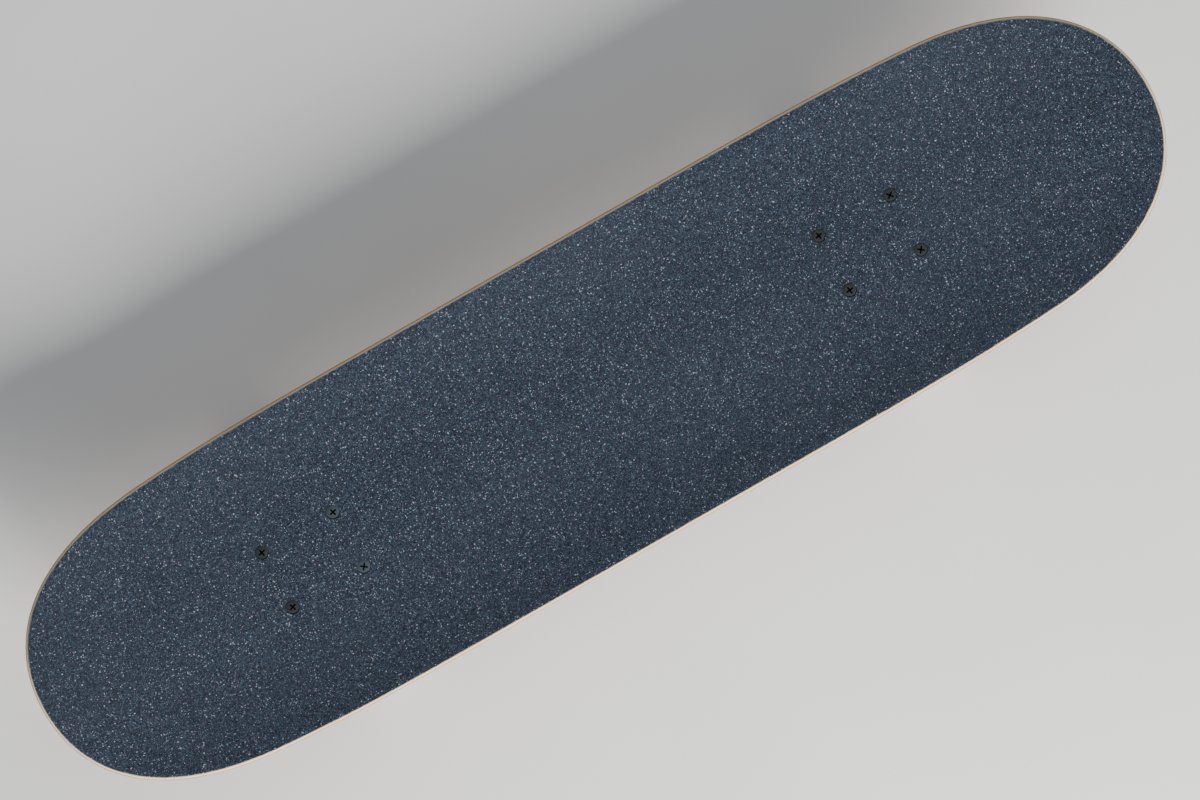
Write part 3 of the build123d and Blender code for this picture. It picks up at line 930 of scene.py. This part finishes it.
zinc = zinc_plate()
white_nylon = nylon("lock_ring_nylon", (0.62, 0.62, 0.60), (0.5, 0.5, 0.48))
shank_start, kingpin_end = 10.0, 60.5
thread_start, kingpin_pitch = 44.0, 1.06
kingpin_core = core(kingpin_radius, kingpin_pitch)
nut_start = 49.5
head_start = 4.8
shank = [
    (0, shank_start),
    (kingpin_radius, shank_start),
    (kingpin_radius, thread_start),
    (kingpin_core, thread_start + 0.5),
    (kingpin_core, kingpin_end - 0.5),
    (kingpin_core - 0.5, kingpin_end),
    (0, kingpin_end),
]
kingpin_parts = [
    turned("shank", shank, zinc, 0.25, 56),
    thread(kingpin_radius, kingpin_pitch, thread_start, kingpin_end - 0.6, zinc),
    hex_bar(head_flats, [(0, head_start), *hex_rows(head_flats, head_start, head_end), (0, head_end)], zinc),
]
both_trucks(placed(joined("kingpin", kingpin_parts), on_kingpin), "kingpin")
kingpin_nut = joined("kingpin_nut", lock_nut(14.2, 8.0, kingpin_radius, zinc, white_nylon))
both_trucks(placed(kingpin_nut, shift(0, 0, nut_start), on_kingpin), "kingpin_nut")

# ---------------- bushings and cupped washers
# Two cast urethane bushings hold the hanger's ring between them: a barrel on the board's side and a
# cone on the road's side. Pressed steel cups keep their ends round. They stand along the kingpin's lean.

bushing_bore = 4.9
cup_sheet = 1.5
barrel_cup = [(12.9, 0), (13.2, 0.3), (13.2, 2.6), (12.95, 2.9), (12.3, 2.9), (12.1, 2.6), (12.1, 1.9)]
barrel_cup += [(11.7, cup_sheet)]
cone_cup = [(10.5, cup_sheet), (10.8, 1.2), (10.8, -1.1), (10.55, -1.4), (9.95, -1.4), (9.7, -1.1)]
cone_cup += [(9.7, -0.4), (9.3, 0)]
road_start, road_end = 36.0, 48.0
cups = {
    "boardside_washer": (seat_end, [(bushing_bore, 0), *barrel_cup, (bushing_bore, cup_sheet)]),
    "roadside_washer": (road_end, [(bushing_bore, cup_sheet), *cone_cup, (bushing_bore, 0)]),
}
for node, (level, profile) in cups.items():
    both_trucks(placed(turned("washer", profile, zinc, 0.12, 64), shift(0, 0, level), on_kingpin), node)


def bushing_urethane():
    rubber = Finish("bushing_urethane")
    flow = rubber.noise(90, detail=4, warp=0.5)
    speck = rubber.smooth(rubber.noise(1500, detail=2), 0.62, 0.75)
    colour = rubber.blend(flow, (0.60, 0.535, 0.42), (0.50, 0.43, 0.32))
    colour = rubber.blend(speck * 0.4, colour, (0.25, 0.21, 0.16))
    rough = 0.34 + flow * 0.14 + speck * 0.2
    relief = rubber.bump(rubber.noise(900), 0.05, 0.4)
    glow = {"Subsurface_Weight": 0.12, "Subsurface_Radius": (0.004, 0.003, 0.002), "Subsurface_Scale": 1.0}
    return rubber.shade(Base_Color=colour, Roughness=rough, Normal=relief, **glow)


bushing_finish = bushing_urethane()


def bushing(start, end, r_start, r_end, swell):
    """A bushing: rounded ends, a side that swells a little, and many rows along its length."""
    shares = np.linspace(0, 1, 13)
    levels = [start + (end - start) * share for share in shares]
    bulges = [swell * math.sin(math.pi * share) ** 1.5 for share in shares]
    radii = [r_start + (r_end - r_start) * share + bulge for share, bulge in zip(shares, bulges)]
    low_rim = [(r_start - 0.9, start), (r_start - 0.3, start + 0.25)]
    high_rim = [(r_end - 0.3, end - 0.25), (r_end - 0.9, end)]
    side = list(zip(radii, levels))[1:-1]
    bore_side = [(bushing_bore, level) for level in reversed(levels)]
    return turned("bushing", low_rim + side + high_rim + bore_side, bushing_finish, 0, 64)


# Each entry gives a bushing's sizes and what its first and last bit sit on. The bushings ride on no body.
bushings = {
    "boardside_bushing": ((18.0, 32.0, 12.0, 12.0, 0.35), ("deck", "hanger")),
    "roadside_bushing": ((road_start, road_end, 12.0, 9.4, 0.25), ("hanger", "deck")),
}
for node, (sizes, (low, high)) in bushings.items():
    for end, copy in both_trucks(placed(bushing(*sizes), on_kingpin), node, ride=False).items():
        levels = (sizes[0] + 1.2, sizes[1] - 1.8)
        foot, top = (truck_places[end] @ ((kingpin_foot + kingpin_line * level) * MM) for level in levels)
        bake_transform(copy)

# ---------------- axles, nuts, washers and spacers
# A ground steel axle, pressed through the hanger, threaded at both ends. At each end come a speed
# washer, a bearing, a spacer, a bearing, a speed washer and a nylon lock nut.

axle_radius = 3.97
axle_half = 101.6
axle_pitch = 1.06
axle_core = core(axle_radius, axle_pitch)
axle_height = 26.0
thread_foot = 92.4
wheel_centre_y = 80.8
bearing_offset = 8.5
bearing_width = 7.0
stack_end = bearing_offset + bearing_width / 2
washer_sheet = 0.8
slip_bore = 4.1
spacer_half = 5
axle_x = {"front": front_truck_x - axle_spot.x, "rear": rear_truck_x + axle_spot.x}


def ground_steel():
    metal = Finish("ground_steel")
    lines = metal.noise(3000, metal.stretch(0.12, 1, 0.12), 2)
    haze = metal.noise(130, detail=4)
    colour = metal.blend(haze, (0.40, 0.40, 0.415), (0.52, 0.52, 0.53))
    rough = 0.26 + lines * 0.14 + haze * 0.08
    return metal.shade(Base_Color=colour, Metallic=1.0, Roughness=rough, Normal=metal.bump(lines, 0.015, 0.4))


set_tree = geometry_tree("set out", Piece="Object")
shape_node = set_tree.add(
    "GeometryNodeObjectInfo", {"transform_space": "ORIGINAL"}, {"Object": set_tree.given["Piece"]}, "Geometry"
)
aim = set_tree.add("GeometryNodeInputNamedAttribute", {"data_type": "FLOAT_VECTOR"}, {"Name": "aim"})
turn_node = set_tree.add("FunctionNodeEulerToRotation", None, {"Euler": aim})
set_parts = {"Points": set_tree.given["Geometry"], "Instance": shape_node, "Rotation": turn_node}
copies_made = set_tree.add("GeometryNodeInstanceOnPoints", None, set_parts)
# Where the piece has a second finish of its own, as in a screw's recess, that one stays.
finish_tree(set_tree, copies_made, set_tree.add("GeometryNodeInputMaterialIndex") < 0.5)


def set_out(name, piece, places, finish, **numbers):
    """One piece set out at several places, each a (position, turn) pair, as one mesh."""
    points = mesh_piece(name, [position for position, turn in places], [], **numbers)
    aims = points.data.attributes.new("aim", "FLOAT_VECTOR", "POINT")
    aims.data.foreach_set("vector", np.array([turn for position, turn in places], np.float32).ravel())
    return grow(set_tree, points, {"Finish": finish, "Piece": piece})


steel = ground_steel()
half_rod = [
    (axle_radius, thread_foot - 0.4),
    (axle_core, thread_foot),
    (axle_core, axle_half - 0.6),
    (axle_core - 0.6, axle_half),
    (0, axle_half),
]
rod_profile = [(radius, -out) for radius, out in reversed(half_rod)] + half_rod
axle_parts = [turned("rod", rod_profile, steel, 0.2, 56)]
axle_parts += [
    thread(axle_radius, axle_pitch, start, start + 8.6, steel) for start in (thread_foot, -axle_half + 0.6)
]
axle = placed(joined("axle", axle_parts), spin(quarter, "X"))


def sleeve(name, outside, low, high, radius, steps):
    """A plain zinc-plated ring that slips over the axle."""
    profile = [(slip_bore, low), (outside, low), (outside, high), (slip_bore, high)]
    return turned(name, profile, zinc, radius, steps)


speed_washer = sleeve("speed_washer", 6.2, 0, washer_sheet, 0.2, 56)
spacer = sleeve("spacer", 5.2, -spacer_half, spacer_half, 0.3, 48)
axle_nut, axle_nut_ring = lock_nut(12.7, 6.4, axle_radius, zinc, white_nylon)
for end, spot_x in axle_x.items():
    fit(copied(axle, shift(spot_x, 0, axle_height)), f"{end}_axle")
    nut_places, washer_places, spacer_places = [], [], []
    for way in (1, -1):
        outwards = (-quarter * way, 0, 0)

        def at(out):
            return spot_x, way * (wheel_centre_y + out), axle_height

        nut_places.append((at(stack_end + washer_sheet), (-quarter * way, 0.4 + way * 0.3, 0)))
        washer_places += [(at(stack_end), outwards), (at(-stack_end - washer_sheet), outwards)]
        spacer_places.append((at(0), outwards))
    nuts = set_out("nuts", axle_nut, nut_places, zinc)
    rings = set_out("rings", axle_nut_ring, nut_places, white_nylon)
    fit(joined("axle_nuts", [nuts, rings]), f"{end}_axle_nuts")
    fit(set_out("speed_washers", speed_washer, washer_places, zinc), f"{end}_speed_washers")
    fit(set_out("spacers", spacer, spacer_places, zinc), f"{end}_bearing_spacers")
drop(axle, speed_washer, spacer, axle_nut, axle_nut_ring)

# ---------------- wheels
# Poured urethane, ground true on the tread, with turned side walls and a pocket at each side that
# the bearings press into. The tread carries the grinder's fine rings and the street's grey dust.

wheel_radius, wheel_half, tread_half, face_radius = 26.0, 16.0, 9.0, 19.8
pocket_radius, pocket_foot, lip_radius = 11.05, 5, 9.4
middle = 0.01
rounding = [(wheel_radius, tread_half), (wheel_radius, 13), (24, wheel_half), (face_radius, wheel_half)]
half_profile = [(wheel_radius, middle), (wheel_radius, 3), (wheel_radius, 6)]
half_profile += [tuple(point) for point in bezier(rounding, 14)]
half_profile += [(19.2, 15.95), (18.9, 15.5), (18.6, 15.2), (14.9, 13.7), (13.9, 13.3), (13.3, 12.5)]
half_profile += [(12.9, 12.3), (11.4, 12.2), (pocket_radius, 11.9), (pocket_radius, pocket_foot)]
half_profile += [(lip_radius, pocket_foot), (lip_radius, middle)]


def wheel_urethane():
    cast_wheel = Finish("wheel_urethane")
    angle, run, _ = cast_wheel.split(cast_wheel.add("ShaderNodeUVMap", {"uv_map": "turning"}))
    swing = angle * math.tau
    round_x, round_y = cast_wheel.math("COSINE", swing), cast_wheel.math("SINE", swing)
    rings = cast_wheel.noise(1.0, cast_wheel.join(round_x * 2.5, round_y * 2.5, run * 9))
    tread = cast_wheel.smooth(abs(cast_wheel.attribute("across")), 12.5, 8.5)
    dust = cast_wheel.smooth(cast_wheel.noise(130, detail=5, warp=0.8), 0.42, 0.68)
    rolled = cast_wheel.join(round_x * 14, round_y * 14, run * 1.4)
    scuffs = cast_wheel.smooth(cast_wheel.noise(1.0, rolled, 5, warp=1.2), 0.58, 0.7)
    milk = cast_wheel.noise(45)
    colour = cast_wheel.blend(milk, (0.74, 0.72, 0.65), (0.68, 0.655, 0.585))
    colour = cast_wheel.blend(tread * (0.14 + dust * 0.24), colour, (0.40, 0.385, 0.35))
    colour = cast_wheel.blend(tread * scuffs * 0.16, colour, (0.27, 0.26, 0.245))
    relief = cast_wheel.bump(rings * (0.35 + tread * 0.65) + dust * tread * 0.4, 0.05, 0.5)
    rough = 0.33 + tread * 0.22 + dust * 0.1 + rings * 0.06
    glow = {"Subsurface_Weight": 0.1, "Subsurface_Radius": (0.004, 0.0035, 0.003), "Subsurface_Scale": 1.0}
    return cast_wheel.shade(Base_Color=colour, Roughness=rough, Normal=relief, **glow)


mirrored_half = [(radius, -level) for radius, level in reversed(half_profile)]
wheel = turned("wheel", mirrored_half + half_profile, wheel_urethane(), 0, 128)
across_wheel = wheel.data.attributes.new("across", "FLOAT", "POINT")
across_wheel.data.foreach_set("value", [point.co.z / MM for point in wheel.data.vertices])
sides = {"left": 1, "right": -1}
for end, spot_x in axle_x.items():
    for side, way in sides.items():
        place = shift(spot_x, way * wheel_centre_y, axle_height) @ spin(-quarter * way, "X")
        fit(copied(wheel, place), f"{end}_{side}_wheel")
drop(wheel)

# ---------------- bearings
# Two 608 ball bearings in each wheel: hardened rings, seven balls in a nylon cage, and a rubber seal
# pressed into the outer ring at each face. The outer ring turns with the wheel.


def polished_steel():
    metal = Finish("bearing_steel")
    haze = metal.noise(300)
    fine = metal.noise(3500, detail=2)
    colour = metal.blend(haze, (0.60, 0.60, 0.615), (0.70, 0.70, 0.71))
    rough = 0.13 + haze * 0.09 + fine * 0.06
    return metal.shade(Base_Color=colour, Metallic=1.0, Roughness=rough, Normal=metal.bump(fine, 0.01, 0.3))


ball_circle, groove_radius = 7.5, 2.08
race_half = bearing_width / 2
outside, outer_land, inner_land, inside = 11.0, 9.45, 6.05, 4.05
groove = [(ball_circle + out, level) for out, level in arc(groove_radius, range(-20, 21, 5))]
inner_groove = [(ball_circle - out, level) for out, level in arc(groove_radius, range(-45, 46, 9))]
outer_profile = [(outside, -race_half), (outside, race_half), (outer_land, race_half)]
outer_profile += [*reversed(groove), (outer_land, -race_half)]
inner_profile = [(inside, race_half), (inside, -race_half), (inner_land, -race_half)]
inner_profile += [*inner_groove, (inner_land, race_half)]
seal_profile = [(6.4, 2.9), (9.42, 2.9), (9.42, 3.3), (8.95, 3.3), (8.75, 3.14), (8.2, 3.14), (8.05, 3.24)]
seal_profile += [(7.6, 3.24), (7.45, 3.14), (6.95, 3.14), (6.75, 3.3), (6.45, 3.3), (6.4, 3.2)]
bearing_metal = polished_steel()
seal_finish = black_rubber("seal_rubber")
outer_ring = turned("outer_ring", outer_profile, bearing_metal, 0.28, 96)
inner_ring = turned("inner_ring", inner_profile, bearing_metal, 0.28, 72)
seal = turned("seal", seal_profile, seal_finish, 0.06, 80)
cage_finish = nylon("cage_nylon", (0.66, 0.62, 0.50), (0.58, 0.54, 0.43))
bearing_ways = (-bearing_offset, bearing_offset)
for end, spot_x in axle_x.items():
    for side, way in sides.items():
        corner = f"{end}_{side}_bearing"
        centres = [(spot_x, way * wheel_centre_y + offset, axle_height) for offset in bearing_ways]
        ring_places = [(centre, (-quarter, 0, 0)) for centre in centres]
        seal_places = [(centre, (turn, 0, 0)) for centre in centres for turn in (-quarter, quarter)]
        fit(set_out("outer_rings", outer_ring, ring_places, bearing_metal), f"{corner}_outer_rings")
        fit(set_out("seals", seal, seal_places, seal_finish), f"{corner}_seals")
        frame["nodes"][f"{corner}_balls"].material_slots[0].material = bearing_metal
        frame["nodes"][f"{corner}_cages"].material_slots[0].material = cage_finish
for end, spot_x in axle_x.items():
    ring_places = [
        ((spot_x, way * wheel_centre_y + offset, axle_height), (-quarter, 0, 0))
        for way in sides.values()
        for offset in bearing_ways
    ]
    fit(set_out("inner_rings", inner_ring, ring_places, bearing_metal), f"{end}_bearing_inner_rings")
drop(outer_ring, inner_ring, seal)

# ---------------- deck bolts and nuts
# Eight countersunk cross-recess machine screws, black oxide over steel, through the deck and the
# baseplate into nylon lock nuts. Two of the heads at the tail end are painted pale slate: painted sheen.

bolt_length, bolt_radius, bolt_head_radius, bolt_pitch = 25.4, 2.38, 4.65, 0.79
bolt_core = core(bolt_radius, bolt_pitch)
head_proud = 0.3
cone_foot = -head_proud - bolt_head_radius + bolt_radius
plain_end = -13
nut_level = deck_bottom - base_thickness - 0.1


def black_oxide():
    metal = Finish("black_oxide")
    mottle = metal.noise(800, detail=4)
    rub = metal.smooth(metal.noise(1500, metal.stretch(1, 0.3, 1)), 0.5, 0.72)
    colour = metal.blend(mottle, (0.008, 0.0105, 0.012), (0.018, 0.022, 0.024))
    colour = metal.blend(rub * 0.3, colour, (0.05, 0.052, 0.05))
    # Heads that carry a sheen number are painted pale slate: painted sheen, as if they reflected the light.
    colour = metal.blend(metal.attribute("rubbed") * (0.75 + rub * 0.25), colour, (0.036, 0.052, 0.066))
    rough = 0.46 + mottle * 0.2 - rub * 0.08
    relief = metal.bump(mottle + rub, 0.03, 0.4)
    return metal.shade(Base_Color=colour, Roughness=rough, Normal=relief, Specular_IOR_Level=0.22)


def recess_shade():
    """Hardly any light reaches the bottom of a screw's recess."""
    metal = Finish("recess_shade")
    mottle = metal.noise(900)
    colour = metal.blend(mottle, (0.002, 0.002, 0.002), (0.006, 0.006, 0.006))
    return metal.shade(Base_Color=colour, Roughness=0.6 + mottle * 0.2, Specular_IOR_Level=0.05)


oxide = black_oxide()
black_nylon = nylon("black_lock_ring_nylon", (0.03, 0.03, 0.032), (0.05, 0.05, 0.052))
screw_profile = [
    (0, -bolt_length),
    (bolt_core - 0.4, -bolt_length),
    (bolt_core, -bolt_length + 0.4),
    (bolt_core, plain_end - 0.4),
    (bolt_radius, plain_end),
    (bolt_radius, cone_foot),
    (bolt_head_radius, -head_proud),
    (bolt_head_radius, -0.14),
    (bolt_head_radius - 0.15, -0.04),
    (2.5, 0.0),
    (0, 0.02),
]
screw = turned("screw", screw_profile, oxide, 0, 56)
recess_painted_shade = recess_shade()


def oblong(half_length, half_width):
    return [(x * half_length, y * half_width) for x, y in ((-1, -1), (1, -1), (1, 1), (-1, 1))]


# The cross and its hub are coloured near black: painted shade, as little light gets into the recess.
arms = [
    placed(slab(-2.5, 0.4, oblong(1.3, 0.34), oblong(2.85, 0.55), recess_painted_shade), spin(turn, "Z"))
    for turn in (0, quarter)
]
hub = rod(0.5, 0.95, -2.6, 0.4, finish=recess_painted_shade, steps=24)
cut(screw, *arms, hub)
drop(*arms, hub)
ridge = thread(bolt_radius, bolt_pitch, -bolt_length + 0.5, plain_end - 0.2, oxide)
screw = soften(joined("screw", [screw, ridge]), 35)
deck_nut, deck_nut_ring = lock_nut(9.5, 5.6, bolt_radius, oxide, black_nylon)
# How far each screw turned before it was tight, in degrees: the row nearer the nose first, left
# then right. Then how strongly each head carries painted sheen.
stops = {"front": (38, 52, 12, 8), "rear": (15, 52, 13, 20)}
painted_sheen_heads = {"front": (0, 0, 0, 0), "rear": (0.85, 1, 0, 0)}
for end, holes in (("front", bolt_places[:4]), ("rear", bolt_places[4:])):
    heads, under = [], []
    for (x, y), stop in zip(holes, stops[end]):
        heads.append(((x, y, deck_top + head_proud), (0, 0, math.radians(stop))))
        under.append(((x, y, nut_level), (math.pi, 0, math.radians(stop * 3))))
    fit(set_out("bolts", screw, heads, oxide, rubbed=painted_sheen_heads[end]), f"{end}_deck_bolts")
    nuts = set_out("nuts", deck_nut, under, oxide)
    fit(joined("deck_nuts", [nuts, set_out("rings", deck_nut_ring, under, black_nylon)]), f"{end}_deck_nuts")
drop(screw, deck_nut, deck_nut_ring)

# ---------------- floor, light and camera
# A pale studio floor under a large soft light, with a weaker one opposite and a faint even sky. The
# camera looks straight down, and the board lies at a slant below it.

board_turn = math.radians(29.64)
floor_reach = 5000
floor = Finish("studio_floor")
floor_patches = floor.smooth(floor.noise(3, detail=2), 0.3, 0.7)
floor_tone = floor.blend(floor_patches, (0.62, 0.62, 0.615), (0.66, 0.66, 0.655))
floor_corners = [(x, y, 0) for x, y in oblong(floor_reach, floor_reach)]
ground = mesh_piece("studio_floor", floor_corners, [(0, 1, 2, 3)])
ground.data.materials.append(floor.shade(Base_Color=floor_tone, Roughness=0.6))

world = bpy.data.worlds.new("studio")
world.use_nodes = True
sky = world.node_tree.nodes["Background"].inputs
sky["Color"].default_value = (0.9, 0.93, 1.0, 1)
sky["Strength"].default_value = 0.28
scene.world = world


def softbox(name, azimuth, height, distance, size, power, colour):
    """A square light that faces the board. The azimuth is measured from the camera's right."""
    light = bpy.data.lights.new(name, "AREA")
    light.size = size
    light.energy = power
    light.color = colour
    lamp = new_piece(name, light)
    turn = math.radians(azimuth) - board_turn
    lamp.location = (distance * math.cos(turn), distance * math.sin(turn), height)
    lamp.rotation_euler = (Vector((0, 0, 0.08)) - lamp.location).to_track_quat("-Z", "Y").to_euler()


softbox("key", -62, 1.25, 1.9, 1.0, 140, (1.0, 0.985, 0.96))
softbox("fill", 60, 2.4, 1.2, 1.6, 18, (0.93, 0.97, 1.0))

camera_height = 1.425
camera = new_piece("camera", bpy.data.cameras.new("camera"))
camera.data.sensor_width = 36
camera.data.lens = 64.9
camera.location = (0.0022, -0.0022, (deck_top + grip_thickness) * MM + camera_height)
camera.rotation_euler = (0, 0, -board_turn)
scene.camera = camera
